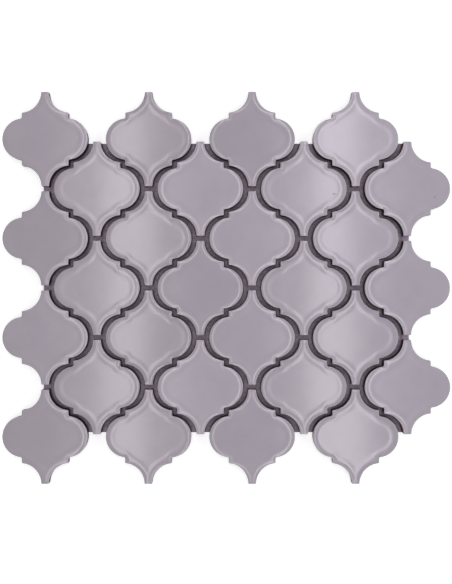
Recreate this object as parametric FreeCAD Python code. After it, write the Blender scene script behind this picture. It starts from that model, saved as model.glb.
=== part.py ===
# Arabesque mosaic sheet: glazed lantern tiles bonded to one thin backing.
# It lies flat with the glazed faces up. X runs across the columns of tiles and Y runs from tip to tip.
# The origin is the middle of the backing's underside.
import FreeCAD, Part
import math
import os

# Outline of one tile, in millimetres
TILE_WIDTH = 53.5        # across the two side lobes
TILE_HEIGHT = 59.0       # from tip end to tip end
TIP_WIDTH = 4.9          # flat end of each tip
SHOULDER_WIDTH = 29.25   # across the upright steps between lobe and neck
SHOULDER_HEIGHT = 3.65   # from the top of the lobe to the foot of the neck
TIP_CORNER = 0.5
SHOULDER_CORNER = 0.5
SHOULDER_ROOT = 1.0

# Section of one tile
TILE_THICKNESS = 5.5
BACK_DRAFT = 0.15        # the back is this much smaller all round, so that the tile leaves its die
EDGE_RADIUS = 0.4        # rounding where the face turns down into the wall
EDGE_STATIONS = 3        # outlines that the rounding is lofted through
BORDER_WIDTH = 2.15      # from the outline in to the flat panel
BORDER_FALL = 0.25       # how far the border slopes down from the panel to the rounding
SHARPEST_CORNER = 0.15   # the border's inner outlines keep at least this corner

# Joints between the tiles
TIP_SIDE_JOINT = 3.15    # from a tip's side to the lobe beside it
TIP_END_JOINT = 3.0      # from tip end to tip end in a column
SHOULDER_JOINT = 1.55    # from a neck's foot to the lobe that nests in it

# Sheet
COLUMNS = 8              # full and short columns take turns, starting with a full one
FULL_ROWS = 4
BACKING_THICKNESS = 0.5
BACKING_SETBACK = 0.5    # the backing's edge stays this far inside the tiles' outlines

# Each lobe nests in the neck of the next tile, so both radii follow from the height, the step and the joints.
PITCH_X = TILE_WIDTH + TIP_WIDTH + 2 * TIP_SIDE_JOINT
PITCH_Y = TILE_HEIGHT + TIP_END_JOINT
LOBE_RADIUS = (PITCH_Y / 2 - SHOULDER_JOINT - SHOULDER_HEIGHT) / 2
NECK_RADIUS = TILE_HEIGHT / 2 - LOBE_RADIUS - SHOULDER_HEIGHT
LOBE_CENTRE = (TILE_WIDTH / 2 - LOBE_RADIUS, 0)
NECK_CENTRE = (TIP_WIDTH / 2 + NECK_RADIUS, TILE_HEIGHT / 2)


def flat(point):
    return FreeCAD.Vector(point[0], point[1], 0)


def towards(centre, target, distance):
    """Point at a distance from centre on the line to target."""
    reach = distance / math.dist(centre, target)
    return (centre[0] + (target[0] - centre[0]) * reach, centre[1] + (target[1] - centre[1]) * reach)


def side_of(hypotenuse, other_side):
    return math.sqrt(hypotenuse ** 2 - other_side ** 2)


def quarter_path(inset):
    """Steps from a lobe to a tip, each as start, arc centre (none for a line) and end, drawn in by inset."""
    step_x = SHOULDER_WIDTH / 2 - inset
    neck_radius = NECK_RADIUS + inset
    corner_radius = max(SHOULDER_CORNER - inset, SHARPEST_CORNER)
    tip_radius = max(TIP_CORNER - inset, SHARPEST_CORNER)

    root_x = SHOULDER_WIDTH / 2 + SHOULDER_ROOT
    root = (root_x, side_of(LOBE_RADIUS + SHOULDER_ROOT, root_x - LOBE_CENTRE[0]))
    corner_x = step_x - corner_radius
    corner = (corner_x, NECK_CENTRE[1] - side_of(neck_radius + corner_radius, NECK_CENTRE[0] - corner_x))
    tip_drop = inset + tip_radius
    tip = (NECK_CENTRE[0] - side_of(neck_radius + tip_radius, tip_drop), NECK_CENTRE[1] - tip_drop)

    lobe_top = towards(LOBE_CENTRE, root, LOBE_RADIUS - inset)
    step_foot = (step_x, root[1])
    step_head = (step_x, corner[1])
    neck_foot = towards(NECK_CENTRE, corner, neck_radius)
    neck_head = towards(NECK_CENTRE, tip, neck_radius)
    tip_end = (tip[0], tip[1] + tip_radius)
    return [
        (lobe_top, root, step_foot),
        (step_foot, None, step_head),
        (step_head, corner, neck_foot),
        (neck_foot, NECK_CENTRE, neck_head),
        (neck_head, tip, tip_end),
    ]


def mirrored(path, side, end):
    """The same quarter on another side, still running round the tile the same way."""
    placed = [[point and (point[0] * side, point[1] * end) for point in step] for step in path]
    if side * end > 0:
        return placed
    return [step[::-1] for step in reversed(placed)]


def edge(start, centre, end):
    if centre is None:
        return Part.LineSegment(flat(start), flat(end)).toShape()
    halfway = ((start[0] + end[0]) / 2, (start[1] + end[1]) / 2)
    middle = towards(centre, halfway, math.dist(centre, start))
    return Part.Arc(flat(start), flat(middle), flat(end)).toShape()


def outline(inset, height):
    """Closed outline of a tile about its centre, drawn in by inset on every side."""
    path = quarter_path(inset)
    quarters = [mirrored(path, side, end) for side, end in ((1, 1), (-1, 1), (-1, -1), (1, -1))]
    edges = []
    for number, quarter in enumerate(quarters):
        edges += [edge(*step) for step in quarter]
        last = quarter[-1][2]
        following = quarters[(number + 1) % 4][0][0]
        if number % 2 == 0:
            edges.append(edge(last, None, following))
        else:
            lobe_side = (math.copysign(TILE_WIDTH / 2 - inset, last[0]), 0)
            edges.append(Part.Arc(flat(last), flat(lobe_side), flat(following)).toShape())
    wire = Part.Wire(edges)
    wire.translate(FreeCAD.Vector(0, 0, height))
    return wire


def tile():
    """One tile about its own centre: back, drafted wall, rounded edge, sloping border and flat panel."""
    panel = BACKING_THICKNESS + TILE_THICKNESS
    rounding_top = panel - BORDER_FALL
    sections = [outline(BACK_DRAFT, BACKING_THICKNESS)]
    for station in range(EDGE_STATIONS):
        turn = math.pi / 2 * station / (EDGE_STATIONS - 1)
        inset = EDGE_RADIUS * (1 - math.cos(turn))
        sections.append(outline(inset, rounding_top - EDGE_RADIUS * (1 - math.sin(turn))))
    sections.append(outline(BORDER_WIDTH, panel))
    return Part.makeLoft(sections, True, True)


def column_rows(column):
    return FULL_ROWS - column % 2


def tile_places():
    """Column, row and centre of every tile: columns from the left, rows from the far edge."""
    places = []
    for column in range(COLUMNS):
        rows = column_rows(column)
        x = (column - (COLUMNS - 1) / 2) * PITCH_X / 2
        for row in range(rows):
            y = ((rows - 1) / 2 - row) * PITCH_Y
            places.append((column + 1, row + 1, FreeCAD.Vector(x, y, 0)))
    return places


def backing():
    """One sheet under all the tiles, cut back to their outlines and straight across the joints' mouths."""
    half_length = (COLUMNS - 1) / 2 * PITCH_X / 2 + TIP_WIDTH / 2 - BACKING_SETBACK
    half_width = (column_rows(1) - 1) / 2 * PITCH_Y + TILE_HEIGHT / 2 - BACKING_SETBACK
    corner = FreeCAD.Vector(-half_length, -half_width, 0)
    field = Part.makePlane(2 * half_length, 2 * half_width, corner)
    under_tile = Part.Face(outline(BACKING_SETBACK, 0))
    patches = []
    for column, row, centre in tile_places():
        patch = under_tile.copy()
        patch.translate(centre)
        patches.append(patch)
    sheet = field.multiFuse(patches).removeSplitter()
    return sheet.Faces[0].extrude(FreeCAD.Vector(0, 0, BACKING_THICKNESS))


os.makedirs("parts", exist_ok=True)
pattern_tile = tile()
for column, row, centre in tile_places():
    laid_tile = pattern_tile.copy()
    laid_tile.translate(centre)
    laid_tile.exportStep(f"parts/tile_c{column}_r{row}.step")
backing().exportStep("parts/mesh_backing.step")
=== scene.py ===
# %% [markdown]
# # A mosaic sheet of glazed lantern tiles
# The real object is a sheet of 28 small ceramic tiles, bonded to one thin backing so that a tiler lays them
# all together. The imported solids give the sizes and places. This lesson replaces each solid by a finer
# mesh: one tile is drawn with edit-mode operators and copied, the backing gets its film and its woven
# strands, and then come the glaze, the bare clay, the light and the camera.

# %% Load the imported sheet
import math
import random

import bmesh
import bpy
import numpy as np
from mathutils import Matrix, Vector


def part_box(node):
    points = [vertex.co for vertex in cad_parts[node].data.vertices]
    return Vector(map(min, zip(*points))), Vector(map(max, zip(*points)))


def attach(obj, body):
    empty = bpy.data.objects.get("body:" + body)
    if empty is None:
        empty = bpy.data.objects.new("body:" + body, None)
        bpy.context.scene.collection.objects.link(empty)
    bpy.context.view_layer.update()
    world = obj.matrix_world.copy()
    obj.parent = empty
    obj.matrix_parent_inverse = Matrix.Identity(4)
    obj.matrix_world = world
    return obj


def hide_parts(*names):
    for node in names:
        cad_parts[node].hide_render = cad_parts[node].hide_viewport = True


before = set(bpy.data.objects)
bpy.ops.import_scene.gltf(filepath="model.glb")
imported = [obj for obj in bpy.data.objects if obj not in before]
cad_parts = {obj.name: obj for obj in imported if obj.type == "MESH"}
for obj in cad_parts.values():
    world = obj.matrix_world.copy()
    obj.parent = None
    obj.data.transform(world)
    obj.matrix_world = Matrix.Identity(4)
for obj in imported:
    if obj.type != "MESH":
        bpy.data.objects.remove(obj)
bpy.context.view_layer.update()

MM = 0.001
tile_names = sorted(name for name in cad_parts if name.startswith("tile_"))
print("tiles to lay:", len(tile_names))

# %% [markdown]
# ## The outline of one tile
# A lantern tile is drawn with compasses: a round lobe at each side, a small upright step at each shoulder,
# and a hollow neck that runs up to a blunt tip. A lobe of the next tile nests in each neck. The outline
# could be traced by many points, but arcs about a few centres keep it exactly round, and the same centres
# serve for every outline that is drawn further in. Each tile is drawn a hair smaller than its solid, so
# that it keeps to its place when it is laid slightly turned.

# %% Sizes of the outline
first_low, first_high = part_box(tile_names[0])
TILE_EASE = 0.03 * MM
TILE_WIDTH = first_high.x - first_low.x - TILE_EASE
TILE_HEIGHT = first_high.y - first_low.y - TILE_EASE
TIP_WIDTH = 4.9 * MM
SHOULDER_WIDTH = 29.25 * MM
SHOULDER_HEIGHT = 3.65 * MM
LOBE_RADIUS = 12.9 * MM
NECK_RADIUS = TILE_HEIGHT / 2 - LOBE_RADIUS - SHOULDER_HEIGHT
TIP_CORNER = 0.5 * MM
SHOULDER_CORNER = 0.5 * MM
SHOULDER_ROOT = 1.0 * MM
SHARPEST_CORNER = 0.15 * MM
LOBE_CENTRE = (TILE_WIDTH / 2 - LOBE_RADIUS, 0)
NECK_CENTRE = (TIP_WIDTH / 2 + NECK_RADIUS, TILE_HEIGHT / 2)
print(f"tile {TILE_WIDTH / MM:.1f} by {TILE_HEIGHT / MM:.1f} mm, neck radius {NECK_RADIUS / MM:.2f} mm")

# %% Centres and ends of the arcs
LOBE_STEPS = 24
ROOT_STEPS = 5
SHOULDER_STEPS = 2
CORNER_STEPS = 4
NECK_STEPS = 24


def towards(centre, target, distance):
    """Point at a distance from centre on the line to target."""
    reach = distance / math.dist(centre, target)
    return (centre[0] + (target[0] - centre[0]) * reach, centre[1] + (target[1] - centre[1]) * reach)


def side_of(hypotenuse, other_side):
    return math.sqrt(hypotenuse ** 2 - other_side ** 2)


def quarter_stretches(inset):
    """Stretches from a lobe's side to the middle of a tip: arc centre (none for a line), end and steps."""
    neck_radius = NECK_RADIUS + inset
    corner_radius = max(SHOULDER_CORNER - inset, SHARPEST_CORNER)
    tip_radius = max(TIP_CORNER - inset, SHARPEST_CORNER)
    step_x = SHOULDER_WIDTH / 2 - inset
    root_x = SHOULDER_WIDTH / 2 + SHOULDER_ROOT
    root = (root_x, side_of(LOBE_RADIUS + SHOULDER_ROOT, root_x - LOBE_CENTRE[0]))
    corner_x = step_x - corner_radius
    corner = (corner_x, NECK_CENTRE[1] - side_of(neck_radius + corner_radius, NECK_CENTRE[0] - corner_x))
    tip_drop = inset + tip_radius
    tip = (NECK_CENTRE[0] - side_of(neck_radius + tip_radius, tip_drop), NECK_CENTRE[1] - tip_drop)
    return [
        (LOBE_CENTRE, towards(LOBE_CENTRE, root, LOBE_RADIUS - inset), LOBE_STEPS),
        (root, (step_x, root[1]), ROOT_STEPS),
        (None, (step_x, corner[1]), SHOULDER_STEPS),
        (corner, towards(NECK_CENTRE, corner, neck_radius), CORNER_STEPS),
        (NECK_CENTRE, towards(NECK_CENTRE, tip, neck_radius), NECK_STEPS),
        (tip, (tip[0], tip[1] + tip_radius), CORNER_STEPS),
        (None, (0, tip[1] + tip_radius), 1),
    ]


print("stretches in a quarter:", len(quarter_stretches(0)))

# %% [markdown]
# ## Drawing with the spin tool
# Blender's spin tool, given one selected vertex, draws an arc about a centre and leaves its last vertex
# selected, so it works like a pair of compasses. Straight stretches are extruded. Only a quarter of the
# tile is drawn, because the tile is the same left and right and at both ends.


# %% Draw one quarter of an outline
def deselect_objects():
    if bpy.context.object and bpy.context.object.mode != "OBJECT":
        bpy.ops.object.mode_set(mode="OBJECT")
    bpy.ops.object.select_all(action="DESELECT")


def turn_between(centre, start, end):
    """Turn from start to end about centre, less than half a turn either way."""
    first = math.atan2(start[1] - centre[1], start[0] - centre[0])
    last = math.atan2(end[1] - centre[1], end[0] - centre[0])
    return (last - first + math.pi) % (2 * math.pi) - math.pi


def draw_quarter(inset, height):
    """Draws a quarter outline into the mesh in edit mode and gives the numbers of its vertices."""
    mesh = bmesh.from_edit_mesh(bpy.context.object.data)
    before = len(mesh.verts)
    here = (TILE_WIDTH / 2 - inset, 0)
    bpy.ops.mesh.select_all(action="DESELECT")
    bpy.ops.mesh.primitive_plane_add(size=MM, location=(here[0], here[1], height))
    bpy.ops.mesh.merge(type="CENTER")
    for centre, end, steps in quarter_stretches(inset):
        if centre:
            angle = -turn_between(centre, here, end)
            bpy.ops.mesh.spin(steps=steps, angle=angle, center=(*centre, height), axis=(0, 0, 1))
        else:
            stride = ((end[0] - here[0]) / steps, (end[1] - here[1]) / steps, 0)
            for _ in range(steps):
                bpy.ops.mesh.extrude_region_move(TRANSFORM_OT_translate={"value": stride})
        here = end
    mesh = bmesh.from_edit_mesh(bpy.context.object.data)
    return list(range(before, len(mesh.verts)))


def select_vertices(numbers):
    bpy.ops.mesh.select_all(action="DESELECT")
    mesh = bmesh.from_edit_mesh(bpy.context.object.data)
    mesh.verts.ensure_lookup_table()
    for number in numbers:
        mesh.verts[number].select_set(True)
    mesh.select_flush(True)
    bmesh.update_edit_mesh(bpy.context.object.data)


print("steps in a quarter:", sum(steps for _, _, steps in quarter_stretches(0)))

# %% [markdown]
# ## The section of the tile
# A pressed tile has a slightly drafted wall, so that it leaves its die, and its face turns down in a small
# rounding. The glaze runs back from the edge while it is molten: it leaves a border that slopes, a low
# crest about 3 mm in, and a face that is dished by about a twentieth of a millimetre. That border is what
# catches the bright lines on the real tiles, so it is modelled and not left to a bump. The crest stays a
# little under the solid's top, which leaves room for the tiles to tilt. Each ring of the section is a
# quarter outline at its own inset and height, and neighbours are bridged.

# %% Sizes of the section
BACK_LIFT = 0.05 * MM
CREST_DROP = 0.22 * MM
TILE_BACK = first_low.z + BACK_LIFT
FACE_CREST = first_high.z - CREST_DROP
BACK_DRAFT = 0.05 * MM
BACK_CHAMFER = 0.25 * MM
EDGE_RADIUS = 0.4 * MM
EDGE_STEPS = 6
BORDER_WIDTH = 3.27 * MM
BORDER_FALL = 0.363 * MM
BORDER_POWER = 2.5
BORDER_RINGS = 9
LAST_DRAWN_INSET = 2.4 * MM
DISH_DEPTH = 0.05 * MM
DISH_RUN = 2.7 * MM
GLAZE_LINE = 4.8 * MM
GLAZE_THICKNESS = 0.06 * MM
GLAZE_LIP = 3


def face_height(distance):
    """Height of the glaze at a distance in from the outline."""
    if distance < BORDER_WIDTH:
        return FACE_CREST - BORDER_FALL * (1 - distance / BORDER_WIDTH) ** BORDER_POWER
    run = min((distance - BORDER_WIDTH) / DISH_RUN, 1)
    return FACE_CREST - DISH_DEPTH * run * run * (3 - 2 * run)


print(f"crest at {FACE_CREST / MM:.2f} mm, face at {face_height(TILE_WIDTH / 2) / MM:.2f} mm")

# %% List the rings from the back to the border
steepest = BORDER_POWER * BORDER_FALL / BORDER_WIDTH
border_slope = math.atan(steepest * (1 - EDGE_RADIUS / BORDER_WIDTH) ** (BORDER_POWER - 1))
border_start = EDGE_RADIUS * (1 - math.sin(border_slope))
rounding_centre = face_height(border_start) - EDGE_RADIUS * math.cos(border_slope)


def wall_inset(height):
    """The wall leans in towards the back."""
    return BACK_DRAFT * (rounding_centre - height) / (rounding_centre - TILE_BACK)


# The glaze ends in a lip that swells out over a few times its thickness
rings = [
    (BACK_DRAFT + BACK_CHAMFER, TILE_BACK),
    (BACK_DRAFT + GLAZE_THICKNESS, TILE_BACK + BACK_CHAMFER),
    (wall_inset(GLAZE_LINE) + GLAZE_THICKNESS, GLAZE_LINE),
    (wall_inset(GLAZE_LINE) + GLAZE_THICKNESS / GLAZE_LIP, GLAZE_LINE + GLAZE_THICKNESS),
    (wall_inset(GLAZE_LINE), GLAZE_LINE + GLAZE_LIP * GLAZE_THICKNESS),
]
widest_ring = len(rings)
for step in range(EDGE_STEPS + 1):
    slope = math.pi / 2 + (border_slope - math.pi / 2) * step / EDGE_STEPS
    rings.append((EDGE_RADIUS * (1 - math.sin(slope)), rounding_centre + EDGE_RADIUS * math.cos(slope)))
first_face_ring = len(rings)
for step in range(1, BORDER_RINGS + 1):
    inset = border_start + (LAST_DRAWN_INSET - border_start) * step / BORDER_RINGS
    rings.append((inset, face_height(inset)))
print("drawn rings:", len(rings))

# %% Draw the rings and bridge them
deselect_objects()
bpy.ops.mesh.primitive_plane_add(size=MM)
pattern = bpy.context.object
pattern.name = "pattern_tile"
bpy.ops.object.mode_set(mode="EDIT")
bpy.ops.mesh.delete(type="VERT")
ring_vertices = [draw_quarter(inset, height) for inset, height in rings]
for lower, upper in zip(ring_vertices, ring_vertices[1:]):
    select_vertices(lower + upper)
    bpy.ops.mesh.bridge_edge_loops()
print("vertices in a drawn ring:", len(ring_vertices[0]))

# %% [markdown]
# ## The face and the back
# Further in than the tips' half width the outline has no tips left to draw, so from there the last ring is
# extruded and scaled towards the tile's middle, ring after ring, until it closes. The rings are close
# together as far as the crest and the dish reach, and wide apart on the flat face. The back closes in the
# same way in one go.

# %% Close the face and the back
FACE_SCALES = (
    0.986, 0.971, 0.957, 0.943, 0.929, 0.914, 0.898, 0.88, 0.86, 0.838, 0.81,
    0.77, 0.7, 0.58, 0.42, 0.22, 0,
)


def extrude_inwards(scale):
    """Extrudes the selected ring and draws it in to a share of its size about the tile's middle."""
    bpy.ops.mesh.extrude_region_move(TRANSFORM_OT_translate={"value": (0, 0, 0)})
    bpy.ops.transform.resize(value=(scale, scale, 1), center_override=(0, 0, 0))


select_vertices(ring_vertices[-1])
reached = 1
for scale in FACE_SCALES:
    extrude_inwards(scale / reached)
    reached = scale or 1
select_vertices(ring_vertices[0])
extrude_inwards(0)
bpy.ops.object.mode_set(mode="OBJECT")
print("vertices in the open quarter:", len(pattern.data.vertices))

# %% [markdown]
# ## How the molten glaze levels
# The height of the face depends on how far a point lies from the outline. Where two edges are near, as in a
# tip, surface tension rounds the ridge between them, and a plain distance would leave a crease there. So
# each point feels the whole outline at once, and the nearest stretch counts by far the most. That is a sum
# over points along the outline, each weighted by a high power of its nearness. It is set against what one
# straight edge would give, so far from the tips it is the plain distance.

# %% Measure how far from the outline a point feels
NEARNESS_POWER = 5
SAMPLES_PER_EDGE = 7
QUARTERS = ((1, 1), (-1, 1), (-1, -1), (1, -1))


def outline_samples(mesh, numbers):
    """Points along the whole tile's outline, and the length that each stands for."""
    ring = set(numbers)
    points, lengths = [], []
    for edge in mesh.edges:
        if not ring.issuperset(edge.vertices):
            continue
        start, end = (np.array(mesh.vertices[number].co[:2]) for number in edge.vertices)
        for sample in range(SAMPLES_PER_EDGE):
            points.append(start + (end - start) * (sample + 0.5) / SAMPLES_PER_EDGE)
            lengths.append(np.linalg.norm(end - start) / SAMPLES_PER_EDGE)
    sides = [np.array(points) * signs for signs in QUARTERS]
    return np.concatenate(sides), np.tile(lengths, len(QUARTERS))


def felt_distance(place, points, lengths):
    """Distance to the outline as all of it together makes it felt."""
    power = NEARNESS_POWER
    straight = math.sqrt(math.pi) * math.gamma((power - 1) / 2) / math.gamma(power / 2)
    away = np.hypot(points[:, 0] - place[0], points[:, 1] - place[1])
    return (np.sum(lengths * away ** -power) / straight) ** (-1 / (power - 1))


samples, sample_lengths = outline_samples(pattern.data, ring_vertices[widest_ring])
print("points along the outline:", len(samples))

# %% Set the height of the face
first_face_vertex = ring_vertices[first_face_ring][0]
back_middle = len(pattern.data.vertices) - len(ring_vertices[0])
for vertex in pattern.data.vertices[first_face_vertex:back_middle]:
    vertex.co.z = face_height(felt_distance(vertex.co, samples, sample_lengths))
face_heights = [vertex.co.z / MM for vertex in pattern.data.vertices[first_face_vertex:back_middle]]
print(f"face from {min(face_heights):.3f} to {max(face_heights):.3f} mm over {len(face_heights)} vertices")

# %% [markdown]
# ## From a quarter to a whole tile
# A Mirror modifier makes the other three quarters and welds the seams. The scaled rings end in one point at
# the middle, so doubles are merged, and then the normals are recalculated, because mirroring can turn faces
# round.

# %% Mirror, weld and smooth
WELD = 0.004 * MM
SMOOTH_ANGLE = math.radians(35)
mirror = pattern.modifiers.new("other_quarters", "MIRROR")
mirror.use_axis = (True, True, False)
mirror.use_mirror_merge = True
mirror.merge_threshold = WELD
bpy.ops.object.modifier_apply(modifier=mirror.name)
bpy.ops.object.mode_set(mode="EDIT")
bpy.ops.mesh.select_all(action="SELECT")
bpy.ops.mesh.remove_doubles(threshold=WELD)
bpy.ops.mesh.normals_make_consistent(inside=False)
bpy.ops.mesh.select_all(action="DESELECT")
bpy.ops.object.mode_set(mode="OBJECT")
bpy.ops.object.shade_smooth_by_angle(angle=SMOOTH_ANGLE)
print("faces in the pattern tile:", len(pattern.data.polygons))

# %% [markdown]
# ## Waves in the glaze
# No fired face is quite true. A Displace modifier with a cloud texture lifts and lowers the glaze by up to
# ten microns, which is enough to bend the reflection of a lamp. It reads each tile's own place on the
# sheet, so no two tiles are alike, and a vertex group keeps the walls still.

# %% Weigh the face for the waves
WAVE_HEIGHT = 0.02 * MM
WAVE_LENGTH = 16 * MM
face_group = pattern.vertex_groups.new(name="face")
for vertex in pattern.data.vertices:
    if vertex.co.z > rounding_centre:
        inward = (vertex.co.z - rounding_centre) / (FACE_CREST - rounding_centre)
        face_group.add([vertex.index], min(1, inward), "REPLACE")
wave_texture = bpy.data.textures.new("glaze_waves", "CLOUDS")
wave_texture.noise_scale = WAVE_LENGTH
wave_texture.noise_depth = 1


def ripple_glaze(tile):
    """Displaces the face of the active tile by the waves at its place on the sheet."""
    waves = tile.modifiers.new("waves", "DISPLACE")
    waves.texture = wave_texture
    waves.texture_coords = "LOCAL"
    waves.direction = "Z"
    waves.strength = WAVE_HEIGHT
    waves.mid_level = 0.5
    waves.vertex_group = face_group.name
    bpy.ops.object.modifier_apply(modifier=waves.name)


print("wave texture scale:", round(wave_texture.noise_scale / MM, 1), "mm")

# %% [markdown]
# ## Laying the tiles
# The tiles are laid by the solids they stand for, each a hair out of level, as tiles on a bonded sheet are.
# A tile tilts about its face, so that its outline stays where it is seen. The tilts are drawn from a seed,
# chosen so that the pale bands of reflection run over about the same tiles as in the photograph. Each copy
# has its own mesh, and its place is applied to that mesh, so that patterns on Object coordinates run on
# across the sheet. A tone of its own goes with each tile, because no two come out of the kiln alike.

# %% Copy a tile to every place
SHEET_SEED = 1888115
TILT = math.radians(0.42)
TURN = math.radians(0.2)
TONE_SPREAD = 0.5


def lay_tile(node_name, chance):
    low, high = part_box(node_name)
    deselect_objects()
    pattern.select_set(True)
    bpy.context.view_layer.objects.active = pattern
    bpy.ops.object.duplicate(linked=False)
    tile = bpy.context.object
    tile.name = "glazed_" + node_name
    tile.data.name = tile.name
    tilt_x, tilt_y = chance.uniform(-TILT, TILT), chance.uniform(-TILT, TILT)
    tile.rotation_euler = (tilt_x, tilt_y, chance.uniform(-TURN, TURN))
    middle_x, middle_y = (low.x + high.x) / 2, (low.y + high.y) / 2
    tile.location = (middle_x - FACE_CREST * tilt_y, middle_y + FACE_CREST * tilt_x, 0)
    bpy.ops.object.transform_apply(location=True, rotation=True, scale=True)
    ripple_glaze(tile)
    tone = tile.data.attributes.new("kiln_tone", "FLOAT", "POINT")
    tone.data.foreach_set("value", [chance.uniform(-TONE_SPREAD, TONE_SPREAD)] * len(tile.data.vertices))
    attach(tile, "root")
    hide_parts(node_name)
    return tile


chance = random.Random(SHEET_SEED)
tiles = [lay_tile(name, chance) for name in tile_names]
bpy.data.objects.remove(pattern)
highest = max(vertex.co.z for tile in tiles for vertex in tile.data.vertices)
print(f"laid {len(tiles)} tiles, highest point {highest / MM:.3f} mm")

# %% [markdown]
# ## The backing film
# The tiles are bonded to a film that carries a woven mesh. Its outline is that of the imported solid, so a
# copy of that mesh is the start: its doubles are merged, its flat faces joined, and its top and underside
# are drawn together to leave the strands standing a little proud of both.

# %% Make the film
FILM_TOP = 0.43 * MM
FILM_UNDERSIDE = 0.08 * MM
SOLID_WELD = 0.001 * MM
FLAT_ANGLE = math.radians(1)


def copy_of_backing(name):
    """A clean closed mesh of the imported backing, alone and selected in edit mode."""
    deselect_objects()
    piece = bpy.data.objects.new(name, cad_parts["mesh_backing"].data.copy())
    bpy.context.collection.objects.link(piece)
    piece.data.name = name
    piece.data.materials.clear()
    piece.select_set(True)
    bpy.context.view_layer.objects.active = piece
    bpy.ops.object.mode_set(mode="EDIT")
    bpy.ops.mesh.select_all(action="SELECT")
    bpy.ops.mesh.remove_doubles(threshold=SOLID_WELD)
    bpy.ops.mesh.dissolve_limited(angle_limit=FLAT_ANGLE)
    return piece


backing_low, backing_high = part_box("mesh_backing")
film = copy_of_backing("backing_film")
thinning = (FILM_TOP - FILM_UNDERSIDE) / (backing_high.z - backing_low.z)
bpy.ops.transform.resize(value=(1, 1, thinning), center_override=(0, 0, 0))
bpy.ops.transform.translate(value=(0, 0, FILM_UNDERSIDE))
deselect_objects()
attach(film, "root")
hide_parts("mesh_backing")
print("faces in the film:", len(film.data.polygons))

# %% [markdown]
# ## The woven strands
# The mesh in the film is a plain weave: each strand goes over one and under the next. One strand is
# extruded from its flat section, crossing by crossing. Array copies it across the sheet at twice the pitch,
# and a second set with the other crossing up fills in between. A Boolean with the backing's own outline
# trims the ends.

# %% Weave one strand
STRAND_PITCH = 5.0 * MM
STRAND_WIDTH = 0.9 * MM
STRAND_THICKNESS = 0.12 * MM
STRAND_OVER = 0.46 * MM
STRAND_UNDER = 0.06 * MM
sheet_length = backing_high.x - backing_low.x
sheet_width = backing_high.y - backing_low.y


def weave_strand(name, length, start_over):
    """A strand along X from the left, closed at both ends, with flat runs over and under its crossings."""
    crossings = int(length / STRAND_PITCH) + 2
    levels = (STRAND_OVER, STRAND_UNDER) if start_over else (STRAND_UNDER, STRAND_OVER)
    deselect_objects()
    start = (-crossings * STRAND_PITCH / 2, 0, levels[0])
    bpy.ops.mesh.primitive_plane_add(size=1, location=start, rotation=(0, math.pi / 2, 0))
    strand = bpy.context.object
    strand.name = name
    strand.scale = (STRAND_THICKNESS, STRAND_WIDTH, 1)
    bpy.ops.object.transform_apply(location=True, rotation=True, scale=True)
    bpy.ops.object.mode_set(mode="EDIT")
    bpy.ops.mesh.select_all(action="SELECT")
    for crossing in range(crossings):
        step = levels[(crossing + 1) % 2] - levels[crossing % 2]
        half = STRAND_PITCH / 2
        bpy.ops.mesh.extrude_region_move(TRANSFORM_OT_translate={"value": (half, 0, 0)})
        bpy.ops.mesh.extrude_region_move(TRANSFORM_OT_translate={"value": (half, 0, step)})
    bpy.ops.mesh.select_all(action="SELECT")
    bpy.ops.mesh.normals_make_consistent(inside=False)
    bpy.ops.object.mode_set(mode="OBJECT")
    return strand


print(f"weave over {sheet_length / MM:.1f} by {sheet_width / MM:.1f} mm")


# %% Array the strands
def weave_set(name, length, width, first_over):
    """Strands along X, copied across the width with every other one the other way up."""
    rows = 2 * (int(width / STRAND_PITCH) // 2) + 2
    halves = []
    for row, over in enumerate((first_over, not first_over)):
        strand = weave_strand(f"{name}_{row}", length, over)
        copies = strand.modifiers.new("rows", "ARRAY")
        copies.count = rows // 2
        copies.use_relative_offset = False
        copies.use_constant_offset = True
        copies.constant_offset_displace = (0, 2 * STRAND_PITCH, 0)
        bpy.ops.object.modifier_apply(modifier=copies.name)
        strand.location.y = (row - (rows - 1) / 2) * STRAND_PITCH
        bpy.ops.object.transform_apply(location=True, rotation=True, scale=True)
        halves.append(strand)
    deselect_objects()
    for strand in halves:
        strand.select_set(True)
    bpy.context.view_layer.objects.active = halves[0]
    bpy.ops.object.join()
    joined = bpy.context.object
    joined.name = name
    joined.data.name = name
    return joined


weft = weave_set("mesh_weft", sheet_length, sheet_width, True)
warp = weave_set("mesh_warp", sheet_width, sheet_length, False)
warp.rotation_euler.z = math.pi / 2
bpy.ops.object.transform_apply(location=True, rotation=True, scale=True)
print("woven:", weft.name, warp.name)

# %% Trim the strands
TRIM_EASE = 0.999
TRIM_STRETCH = 8


def trim_to_backing(strands):
    """Keeps what lies in the backing's outline, with a cutter that is taller than the weave."""
    cutter = copy_of_backing("backing_cutter")
    bpy.ops.transform.translate(value=(0, 0, -(backing_low.z + backing_high.z) / 2))
    bpy.ops.transform.resize(value=(TRIM_EASE, TRIM_EASE, TRIM_STRETCH), center_override=(0, 0, 0))
    deselect_objects()
    strands.select_set(True)
    bpy.context.view_layer.objects.active = strands
    trim = strands.modifiers.new("trim", "BOOLEAN")
    trim.operation = "INTERSECT"
    trim.solver = "EXACT"
    trim.object = cutter
    bpy.ops.object.modifier_apply(modifier=trim.name)
    bpy.data.objects.remove(cutter)


for strands in (weft, warp):
    trim_to_backing(strands)
    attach(strands, "root")
    print(strands.name, "faces:", len(strands.data.polygons))

# %% [markdown]
# ## Working with nodes
# Every finish and every light below is a small tree of nodes. A few helpers that add one node, link it and
# give back its output keep the trees as short to read as sums.


# %% Sums and ramps
def calculate(tree, operation, *terms):
    """A Math node on sockets and plain numbers."""
    node = tree.nodes.new("ShaderNodeMath")
    node.operation = operation
    for number, term in enumerate(terms):
        if isinstance(term, (int, float)):
            node.inputs[number].default_value = term
        else:
            tree.links.new(term, node.inputs[number])
    return node.outputs[0]


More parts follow.
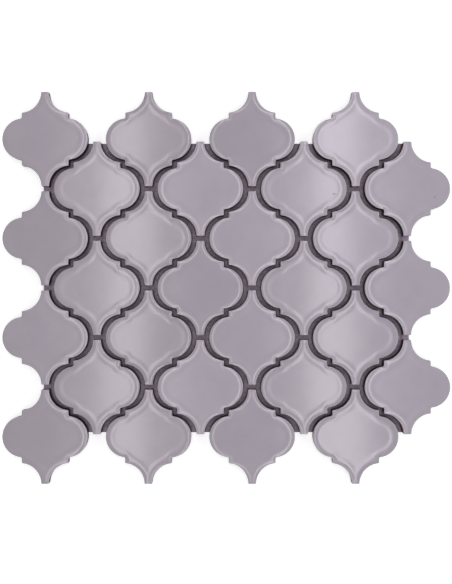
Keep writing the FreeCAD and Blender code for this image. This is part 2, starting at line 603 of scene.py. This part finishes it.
def ramp(tree, value, edges, levels=(0.0, 1.0), kind="LINEAR"):
    """A value that goes from the first level to the last as another goes from the first edge to the last."""
    node = tree.nodes.new("ShaderNodeMapRange")
    node.interpolation_type = kind
    for label, number in zip(("From Min", "From Max", "To Min", "To Max"), (*edges, *levels)):
        node.inputs[label].default_value = number
    tree.links.new(value, node.inputs["Value"])
    return node.outputs["Result"]


def soft_step(tree, value, edges, levels=(0.0, 1.0)):
    return ramp(tree, value, edges, levels, kind="SMOOTHSTEP")


# %% Places and colours
# A Mix node has sockets for each kind of data, and these are the numbers of those for colours
MIX_FIRST, MIX_SECOND, MIX_RESULT = 6, 7, 2


def coordinates(tree, kind):
    return tree.nodes.new("ShaderNodeTexCoord").outputs[kind]


def parts_of(tree, vector):
    """The X, Y and Z of a vector."""
    node = tree.nodes.new("ShaderNodeSeparateXYZ")
    tree.links.new(vector, node.inputs[0])
    return node.outputs


def scale_colour(tree, colour, factor):
    node = tree.nodes.new("ShaderNodeVectorMath")
    node.operation = "SCALE"
    tree.links.new(colour, node.inputs[0])
    tree.links.new(factor, node.inputs["Scale"])
    return node.outputs[0]


def blend_colours(tree, share, first, second):
    """The first colour where the share is nothing, the second where it is one."""
    node = tree.nodes.new("ShaderNodeMix")
    node.data_type = "RGBA"
    tree.links.new(share, node.inputs["Factor"])
    for number, colour in ((MIX_FIRST, first), (MIX_SECOND, second)):
        if isinstance(colour, tuple):
            node.inputs[number].default_value = colour
        else:
            tree.links.new(colour, node.inputs[number])
    return node.outputs[MIX_RESULT]


# %% [markdown]
# ## Effects that the finishes share
# Glaze, film and strands all vary a little in tone over a few millimetres, and the clay, film and strands
# are grainy. Each of these effects is a node group with its own sockets, so that every finish sets its own
# scale and colours.

# %% Build the shared node groups
WHITE = (1, 1, 1, 1)
BLACK = (0, 0, 0, 1)
CLOUD_DETAIL = 3.0
CLOUD_ROUGHNESS = 0.55
CLOUD_RANGE = (0.3, 0.7)
GRAIN_DETAIL = 2.0
GRAIN_ROUGHNESS = 0.6
GRAIN_RANGE = (0.35, 0.65)


def start_group(name, **inputs):
    """A group with these inputs, numbers and colours, that puts out a colour and a height."""
    group = bpy.data.node_groups.new(name, "ShaderNodeTree")
    for label, value in inputs.items():
        kind = "NodeSocketFloat" if isinstance(value, float) else "NodeSocketColor"
        socket = group.interface.new_socket(label, in_out="INPUT", socket_type=kind)
        socket.default_value = value
    group.interface.new_socket("Color", in_out="OUTPUT", socket_type="NodeSocketColor")
    group.interface.new_socket("Height", in_out="OUTPUT", socket_type="NodeSocketFloat")
    return group, group.nodes.new("NodeGroupInput").outputs, group.nodes.new("NodeGroupOutput").inputs


def add_noise(tree, scale, detail, roughness):
    """Noise over the piece's own place on the sheet, at a scale that a socket gives."""
    noise = tree.nodes.new("ShaderNodeTexNoise")
    noise.inputs["Detail"].default_value = detail
    noise.inputs["Roughness"].default_value = roughness
    tree.links.new(coordinates(tree, "Object"), noise.inputs["Vector"])
    tree.links.new(scale, noise.inputs["Scale"])
    return noise.outputs["Fac"]


def make_clouding():
    """Two tones that drift into each other, as a colour and as a height."""
    group, given, out = start_group("clouding", Scale=100.0, Pale=WHITE, Deep=BLACK)
    noise = add_noise(group, given["Scale"], CLOUD_DETAIL, CLOUD_ROUGHNESS)
    drift = ramp(group, noise, CLOUD_RANGE)
    group.links.new(blend_colours(group, drift, given["Deep"], given["Pale"]), out["Color"])
    group.links.new(drift, out["Height"])
    return group


def make_graining():
    """Fine grains that darken a colour and stand up as a height."""
    group, given, out = start_group("graining", Color=WHITE, Scale=2000.0, Depth=0.3)
    noise = add_noise(group, given["Scale"], GRAIN_DETAIL, GRAIN_ROUGHNESS)
    darkening = calculate(group, "MULTIPLY", ramp(group, noise, GRAIN_RANGE), given["Depth"])
    shade = calculate(group, "SUBTRACT", 1.0, darkening)
    group.links.new(scale_colour(group, given["Color"], shade), out["Color"])
    group.links.new(noise, out["Height"])
    return group


clouding = make_clouding()
graining = make_graining()
print("shared effects:", clouding.name, graining.name)


# %% Helpers for the finishes
def start_finish(name):
    finish = bpy.data.materials.new(name)
    finish.use_nodes = True
    return finish, finish.node_tree, finish.node_tree.nodes["Principled BSDF"]


def place_group(tree, group, **values):
    node = tree.nodes.new("ShaderNodeGroup")
    node.node_tree = group
    for label, value in values.items():
        node.inputs[label].default_value = value
    return node


def add_bump(tree, height, distance, shader):
    bump = tree.nodes.new("ShaderNodeBump")
    bump.inputs["Distance"].default_value = distance
    tree.links.new(height, bump.inputs["Height"])
    tree.links.new(bump.outputs["Normal"], shader.inputs["Normal"])


# %% [markdown]
# ## The glaze and the clay under it
# The glaze is a glossy grey with a breath of lilac. It drifts a little in tone over each tile and from tile
# to tile, its skin is faintly uneven, and two of the tiles have a dark pinhole. It ends unevenly part way
# down the wall, thinning to nothing, and below that the bare clay shows, matt and grainy. The clay's
# near-black colour is painted shade, for the deep shade in the narrow joints. A material of its own for the
# clay lets it be duller than any glaze, and the faces below the glaze line get it.

# %% Pit the glaze
# Each pinhole: its place on the sheet, half its length and height in millimetres, and how deep its colour is
PINHOLES = ((67.05, 58.7, 0.95, 0.6, 0.65), (130.03, 56.6, 0.59, 0.83, 0.33))
PINHOLE_RIM = 1.4
PINHOLE_COLOUR = (0.15, 0.135, 0.15, 1)


def vector_step(tree, operation, vector, other=(0, 0, 0)):
    """A Vector Math node on a socket and a plain vector."""
    node = tree.nodes.new("ShaderNodeVectorMath")
    node.operation = operation
    tree.links.new(vector, node.inputs[0])
    node.inputs[1].default_value = other
    return node.outputs


def pinhole_mask(tree, place, x, y, half_length, half_height, depth):
    """The depth inside a pinhole at a place on the sheet, falling to nothing at its rim."""
    sizes = (half_length * MM, half_height * MM, half_length * MM)
    away = vector_step(tree, "SUBTRACT", place, (x * MM, y * MM, FACE_CREST))["Vector"]
    shares = vector_step(tree, "DIVIDE", away, sizes)["Vector"]
    reach = vector_step(tree, "LENGTH", shares)["Value"]
    return ramp(tree, reach, (PINHOLE_RIM, PINHOLE_RIM - 1), (0.0, depth))


print("pinholes:", len(PINHOLES))

# %% Mix the glaze
GLAZE_PALE = (0.397, 0.362, 0.398, 1)
GLAZE_DEEP = (0.378, 0.3425, 0.378, 1)
GLAZE_DRIFT_SCALE = 90.0
KILN_DEPTH = 0.2
GLAZE_GLOSS = 0.085
GLOSS_DRIFT = 0.015
GLAZE_IOR = 1.5
PEEL_SCALE = 420.0
PEEL_HEIGHT = 0.0008 * MM
PINHOLE_PEELS = 30.0
EDGE_SWING = 0.5 * MM
GLAZE_FADE = (GLAZE_LINE + 0.35 * MM, GLAZE_LINE + 0.15 * MM)
# The clay's near-black colour is painted shade of the deep, narrow joints between the tiles' walls.
PAINTED_SHADE_CLAY_COLOUR = (0.034, 0.0205, 0.0285, 1)
CLAY_GRAIN_SCALE = 2600.0
CLAY_GRAIN_DEPTH = 0.45
CLAY_MATT = 0.9
CLAY_PEELS = 40.0


def make_glaze():
    finish, tree, shader = start_finish("lilac_grey_glaze")
    link = tree.links.new
    place = coordinates(tree, "Object")
    cloud = place_group(tree, clouding, Scale=GLAZE_DRIFT_SCALE, Pale=GLAZE_PALE, Deep=GLAZE_DEEP)
    clay = place_group(tree, graining, Color=PAINTED_SHADE_CLAY_COLOUR, Scale=CLAY_GRAIN_SCALE, Depth=CLAY_GRAIN_DEPTH)
    peel = place_group(tree, clouding, Scale=PEEL_SCALE)

    kiln = tree.nodes.new("ShaderNodeAttribute")
    kiln.attribute_name = "kiln_tone"
    brightness = calculate(tree, "MULTIPLY_ADD", kiln.outputs["Fac"], KILN_DEPTH, 1.0)
    toned = scale_colour(tree, cloud.outputs["Color"], brightness)
    holes = 0.0
    for pinhole in PINHOLES:
        holes = calculate(tree, "MAXIMUM", pinhole_mask(tree, place, *pinhole), holes)
    pitted = blend_colours(tree, holes, toned, PINHOLE_COLOUR)

    uneven = calculate(tree, "MULTIPLY_ADD", peel.outputs["Height"], EDGE_SWING, parts_of(tree, place)["Z"])
    bare = ramp(tree, uneven, GLAZE_FADE)
    link(blend_colours(tree, bare, pitted, clay.outputs["Color"]), shader.inputs["Base Color"])

    matt = calculate(tree, "MULTIPLY_ADD", bare, CLAY_MATT - GLAZE_GLOSS, GLAZE_GLOSS)
    roughness = calculate(tree, "MULTIPLY_ADD", cloud.outputs["Height"], GLOSS_DRIFT, matt)
    link(roughness, shader.inputs["Roughness"])
    grains = calculate(tree, "MULTIPLY", clay.outputs["Height"], bare)
    relief = calculate(tree, "MULTIPLY_ADD", grains, CLAY_PEELS, peel.outputs["Height"])
    pits = calculate(tree, "MULTIPLY", holes, PINHOLE_PEELS)
    add_bump(tree, calculate(tree, "SUBTRACT", relief, pits), PEEL_HEIGHT, shader)
    shader.inputs["IOR"].default_value = GLAZE_IOR
    return finish


glaze = make_glaze()
print("nodes in the glaze:", len(glaze.node_tree.nodes))

# %% Mix the clay
CLAY_GRAIN_HEIGHT = 0.03 * MM
CLAY_SHINE = 0.12


def make_clay():
    finish, tree, shader = start_finish("bare_clay")
    grain = place_group(tree, graining, Color=PAINTED_SHADE_CLAY_COLOUR, Scale=CLAY_GRAIN_SCALE, Depth=CLAY_GRAIN_DEPTH)
    tree.links.new(grain.outputs["Color"], shader.inputs["Base Color"])
    add_bump(tree, grain.outputs["Height"], CLAY_GRAIN_HEIGHT, shader)
    shader.inputs["Roughness"].default_value = CLAY_MATT
    shader.inputs["Specular IOR Level"].default_value = CLAY_SHINE
    return finish


clay = make_clay()
print("nodes in the clay:", len(clay.node_tree.nodes))


# %% Glaze the tiles and leave their clay bare below the glaze
def finish_tile(tile):
    tile.data.materials.append(glaze)
    tile.data.materials.append(clay)
    below = [int(face.center.z < GLAZE_LINE) for face in tile.data.polygons]
    tile.data.polygons.foreach_set("material_index", below)
    return sum(below)


bare_faces = [finish_tile(tile) for tile in tiles]
print("glazed tiles:", len(tiles), "with bare faces on each:", bare_faces[0])

# %% [markdown]
# ## The film, the strands and the painted shade
# The backing is a dull grey, clouded and grainy, that shows in the joints and from below, where the strands
# are paler than the film. Along the tiles' feet the film is painted darker, as painted shade in the corners
# of the joints. An Ambient Occlusion node finds those corners, so the shade needs no drawing. A paler dot is
# painted where four tiles meet, as painted light that lifts the joint there. Those places repeat at the
# tiles' own pitch, so two cosines multiplied together are one at each of them.

# %% Place the dots of painted light
DOT_RADII = (2.9 * MM, 1.4 * MM)
beside_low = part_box("tile_c3_r1")[0]
below_low, below_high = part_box("tile_c1_r2")
DOT_PITCH = (beside_low.x - first_low.x, first_low.y - below_low.y)
DOT_START = ((first_low.x + first_high.x) / 2, (first_low.y + below_high.y) / 2)


def painted_light_dots(tree, place):
    """Painted light: one where four tiles meet, falling to nothing round about."""
    waves = []
    for axis, start, pitch in zip("XY", DOT_START, DOT_PITCH):
        turn = 2 * math.pi / pitch
        phase = calculate(tree, "MULTIPLY_ADD", place[axis], turn, -turn * start)
        waves.append(calculate(tree, "COSINE", phase))
    edges = [math.cos(2 * math.pi * radius / DOT_PITCH[0]) for radius in DOT_RADII]
    return soft_step(tree, calculate(tree, "MULTIPLY", *waves), edges)


print("dots of glue repeat every", [round(pitch / MM, 2) for pitch in DOT_PITCH], "mm")

# %% Mix the finish of the backing
# Painted shade: the film takes this dark colour in the corners at the tiles' feet, where Ambient Occlusion
# finds them.
PAINTED_SHADE_COLOUR = (0.08, 0.05, 0.068, 1)
SHADE_REACH = 1.35 * MM
SHADE_SHARES = (0.58, 0.96)
SHADE_SAMPLES = 16
# The paler dot is painted light, lifting the joint where four tiles meet.
PAINTED_LIGHT_COLOUR = (0.46, 0.375, 0.44, 1)
BACKING_DRIFT_SCALE = 480.0
BACKING_GRAIN_DEPTH = 0.35
BACKING_MATT_DRIFT = 0.2
FILM_MIDDLE = (FILM_TOP + FILM_UNDERSIDE) / 2


def make_backing_finish(name, pale, deep, below, grain_scale, matt, relief):
    finish, tree, shader = start_finish(name)
    place = parts_of(tree, coordinates(tree, "Object"))
    cloud = place_group(tree, clouding, Scale=BACKING_DRIFT_SCALE, Pale=pale, Deep=deep)
    grain = place_group(tree, graining, Scale=grain_scale, Depth=BACKING_GRAIN_DEPTH)
    tree.links.new(cloud.outputs["Color"], grain.inputs["Color"])
    # The Ambient Occlusion node paints shade into the film's colour in the corners of the joints.
    corner = tree.nodes.new("ShaderNodeAmbientOcclusion")
    corner.samples = SHADE_SAMPLES
    corner.inputs["Distance"].default_value = SHADE_REACH
    out_of_shade = ramp(tree, corner.outputs["AO"], SHADE_SHARES)
    shaded = blend_colours(tree, out_of_shade, PAINTED_SHADE_COLOUR, grain.outputs["Color"])
    brightened = blend_colours(tree, painted_light_dots(tree, place), shaded, PAINTED_LIGHT_COLOUR)
    underside = place_group(tree, graining, Color=below, Scale=grain_scale, Depth=BACKING_GRAIN_DEPTH)
    upper_side = calculate(tree, "GREATER_THAN", place["Z"], FILM_MIDDLE)
    sided = blend_colours(tree, upper_side, underside.outputs["Color"], brightened)
    tree.links.new(sided, shader.inputs["Base Color"])
    dull = calculate(tree, "MULTIPLY_ADD", grain.outputs["Height"], BACKING_MATT_DRIFT, matt)
    tree.links.new(dull, shader.inputs["Roughness"])
    add_bump(tree, grain.outputs["Height"], relief, shader)
    return finish


film_finish = make_backing_finish(
    "bonding_film",
    pale=(0.41, 0.338, 0.392, 1),
    deep=(0.275, 0.223, 0.266, 1),
    below=(0.2, 0.165, 0.195, 1),
    grain_scale=900.0,
    matt=0.6,
    relief=0.05 * MM,
)
strand_finish = make_backing_finish(
    "coated_strand",
    pale=(0.389, 0.322, 0.377, 1),
    deep=(0.327, 0.268, 0.314, 1),
    below=(0.58, 0.52, 0.56, 1),
    grain_scale=2400.0,
    matt=0.5,
    relief=0.03 * MM,
)
print("backing finishes:", film_finish.name, strand_finish.name)

# %% Colour the film and the strands
film.data.materials.append(film_finish)
for strands in (weft, warp):
    strands.data.materials.clear()
    strands.data.materials.append(strand_finish)
print("coloured:", film.name, weft.name, warp.name)

# %% [markdown]
# ## The floor
# The sheet lies on a plain white floor. The floor sends back the light that falls on it, so it keeps the
# sheet's shadow, and rays from the camera and from mirrors see a little light of its own added, which
# brings it up to white.

# %% Lay the floor
FLOOR_SIZE = 14.0
FLOOR_DROP = 0.05 * MM
FLOOR_COLOUR = (0.6, 0.6, 0.6, 1)
FLOOR_MATT = 0.9
FLOOR_LIFT = 0.62


def seen_directly(tree):
    """One for rays from the camera and for those that mirrors and glass pass on."""
    path = tree.nodes.new("ShaderNodeLightPath")
    seen = calculate(tree, "MAXIMUM", path.outputs["Is Camera Ray"], path.outputs["Is Glossy Ray"])
    return calculate(tree, "MAXIMUM", seen, path.outputs["Is Transmission Ray"])


deselect_objects()
bpy.ops.mesh.primitive_plane_add(size=FLOOR_SIZE, location=(0, 0, -FLOOR_DROP))
floor = bpy.context.object
floor.name = "studio_floor"
floor_finish, floor_tree, floor_shader = start_finish("white_floor")
floor_shader.inputs["Base Color"].default_value = FLOOR_COLOUR
floor_shader.inputs["Roughness"].default_value = FLOOR_MATT
floor_shader.inputs["Specular IOR Level"].default_value = 0.0
floor_shader.inputs["Emission Color"].default_value = WHITE
lift = calculate(floor_tree, "MULTIPLY", seen_directly(floor_tree), FLOOR_LIFT)
floor_tree.links.new(lift, floor_shader.inputs["Emission Strength"])
floor.data.materials.append(floor_finish)
print("floor laid", FLOOR_DROP / MM, "mm under the sheet")

# %% [markdown]
# ## The strip lights
# Two broad strip lights hang high above the sheet, one on each side of its middle. Their reflections are
# the two pale bands down the sheet and the bright lines on the tiles' borders. A plain area lamp has hard
# edges, and these have a bright core with dim skirts, so a ramp across the lamp, read from its own
# Parametric coordinate, sets how bright each line of it is.

# %% Hang the strips
STRIP_HEIGHT = 4.0
STRIP_LENGTH = 7.2
STRIP_WIDTH = 0.81
STRIP_COLOUR = (1.0, 0.945, 1.0)
# Each strip: its name, its side, how far its inner edge is from the middle in metres, and its radiance
STRIPS = (("left_strip", -1, 0.19, 5.0), ("right_strip", 1, 0.22, 5.7))
# The share of the width from the inner edge, and how bright the strip is there
STRIP_PROFILE = (
    (0.0, 0.0), (0.08, 0.18), (0.25, 0.22), (0.37, 1.0),
    (0.55, 1.0), (0.73, 0.22), (0.88, 0.14), (1.0, 0.0),
)


def hang_lamp(name, width, length, radiance):
    """An area lamp of an even radiance, which lights and is mirrored but isn't seen itself."""
    lamp = bpy.data.lights.new(name, "AREA")
    lamp.shape = "RECTANGLE"
    lamp.size = width
    lamp.size_y = length
    lamp.energy = radiance * math.pi * width * length
    hung = bpy.data.objects.new(name, lamp)
    hung.visible_camera = False
    bpy.context.collection.objects.link(hung)
    return hung


def soften_strip(lamp, inner_first):
    """Ramp across the lamp's width, from its inner edge outwards."""
    lamp.use_nodes = True
    tree = lamp.node_tree
    across = parts_of(tree, tree.nodes.new("ShaderNodeNewGeometry").outputs["Parametric"])["X"]
    share = across if inner_first else calculate(tree, "SUBTRACT", 1.0, across)
    profile = tree.nodes.new("ShaderNodeFloatCurve")
    points = profile.mapping.curves[0].points
    given_points = len(points)
    for number, (place, level) in enumerate(STRIP_PROFILE):
        point = points[number] if number < given_points else points.new(place, level)
        point.location = (place, level)
    profile.mapping.update()
    tree.links.new(share, profile.inputs["Value"])
    tree.links.new(profile.outputs["Value"], tree.nodes["Emission"].inputs["Strength"])


for name, side, inner_edge, radiance in STRIPS:
    strip = hang_lamp(name, STRIP_WIDTH, STRIP_LENGTH, radiance)
    strip.location = (side * (inner_edge + STRIP_WIDTH / 2), 0, STRIP_HEIGHT)
    strip.data.color = STRIP_COLOUR
    soften_strip(strip.data, inner_first=side > 0)
print("strips hung at", STRIP_HEIGHT, "m")

# %% [markdown]
# ## The window and the room
# A soft window with bluish daylight stands close by at the right, so the sheet is a little brighter there,
# as in the photograph. The room has a ring of tall windows low down and a dark ceiling. Nearly all this
# light comes in low, so it grazes the faces and stays out of the joints. The ring could be lamps, but
# windows that are painted on the world by direction light the sheet with less noise. Seen from the side,
# the glaze mirrors them, and at their full strength they would wash out its colour. So rays that the glaze
# reflects find them dimmer and taller than they light the sheet. All together it is at a plain level, so
# that a colour renders about as it is written. Near the horizon the room is white, as the floor is.

# %% Stand the window at the right
KEY_SIZE = 0.5
KEY_PLACE = Vector((0.8, 0.1, 0.42))
KEY_RADIANCE = 2.75
KEY_COLOUR = (0.77, 0.81, 1.0)
key_window = hang_lamp("key_window", KEY_SIZE, KEY_SIZE, KEY_RADIANCE)
key_window.data.color = KEY_COLOUR
key_window.location = KEY_PLACE
key_window.rotation_euler = KEY_PLACE.to_track_quat("Z", "Y").to_euler()
print("window at", [round(part, 2) for part in KEY_PLACE], "m")

# %% Open the windows of the room
# A direction's height is the sine of its angle over the horizon
WINDOWS = 16
WINDOW_LIGHT = 3.0
WINDOW_SIDES = (-0.25, 0.25)
WINDOW_SILL = (0.1, 0.15)
WINDOW_HEAD = (0.44, 0.54)
MIRRORED_SHARE = 0.45
MIRRORED_RISE = 0.2
room = bpy.data.worlds.new("pale_room")
room.use_nodes = True
bpy.context.scene.world = room
room_tree = room.node_tree
direction = parts_of(room_tree, coordinates(room_tree, "Generated"))
upward = direction["Z"]
bearing = calculate(room_tree, "ARCTAN2", direction["Y"], direction["X"])
swing = calculate(room_tree, "COSINE", calculate(room_tree, "MULTIPLY", bearing, float(WINDOWS)))
panes = soft_step(room_tree, swing, WINDOW_SIDES, (0.0, WINDOW_LIGHT))
over_sill = soft_step(room_tree, upward, WINDOW_SILL)
mirrored = room_tree.nodes.new("ShaderNodeLightPath").outputs["Is Glossy Ray"]
lowered = calculate(room_tree, "MULTIPLY_ADD", mirrored, -MIRRORED_RISE, upward)
under_head = soft_step(room_tree, lowered, WINDOW_HEAD, (1.0, 0.0))
dimmed = calculate(room_tree, "MULTIPLY_ADD", mirrored, MIRRORED_SHARE - 1.0, 1.0)
opening = calculate(room_tree, "MULTIPLY", calculate(room_tree, "MULTIPLY", over_sill, under_head), dimmed)
print("windows round the room:", WINDOWS)

# %% Paint the room
ROOM_LIGHT = 0.3
CEILING_LIGHT = 0.05
CEILING_EDGES = (0.5, 0.75)
HORIZON = 0.1
walls = soft_step(room_tree, upward, CEILING_EDGES, (ROOM_LIGHT, CEILING_LIGHT))
lit = calculate(room_tree, "MULTIPLY_ADD", panes, opening, walls)
near_horizon = calculate(room_tree, "LESS_THAN", upward, HORIZON)
lifted = calculate(room_tree, "MULTIPLY", near_horizon, seen_directly(room_tree))
background = room_tree.nodes["Background"]
background.inputs["Color"].default_value = WHITE
room_tree.links.new(calculate(room_tree, "MAXIMUM", lit, lifted), background.inputs["Strength"])
print("walls at", ROOM_LIGHT, "and ceiling at", CEILING_LIGHT)

# %% [markdown]
# ## The camera
# The photograph looks straight down on the sheet from about half a metre, so near the sheet's edges the
# tiles' walls show in the joints. The sheet's middle lies a few pixels above the picture's middle, so the
# camera stands that much off the sheet's middle, and the lens gives the photograph's scale at the tiles'
# faces.

# %% Set up the camera
CAMERA_HEIGHT = 0.5
PICTURE_HEIGHT = 584
PIXELS_PER_MM = 1.602
SENSOR = 36.0
CAMERA_OFFSET = (-0.15 * MM, -2.56 * MM)
view_height = PICTURE_HEIGHT / PIXELS_PER_MM * MM
lens_data = bpy.data.cameras.new("camera")
lens_data.sensor_fit = "AUTO"
lens_data.sensor_width = SENSOR
lens_data.lens = SENSOR * CAMERA_HEIGHT / view_height
camera = bpy.data.objects.new("camera", lens_data)
camera.location = (CAMERA_OFFSET[0], CAMERA_OFFSET[1], CAMERA_HEIGHT + FACE_CREST)
bpy.context.collection.objects.link(camera)
bpy.context.scene.camera = camera
bpy.context.scene.view_settings.view_transform = "Standard"
print(f"lens {lens_data.lens:.1f} mm at {CAMERA_HEIGHT} m")
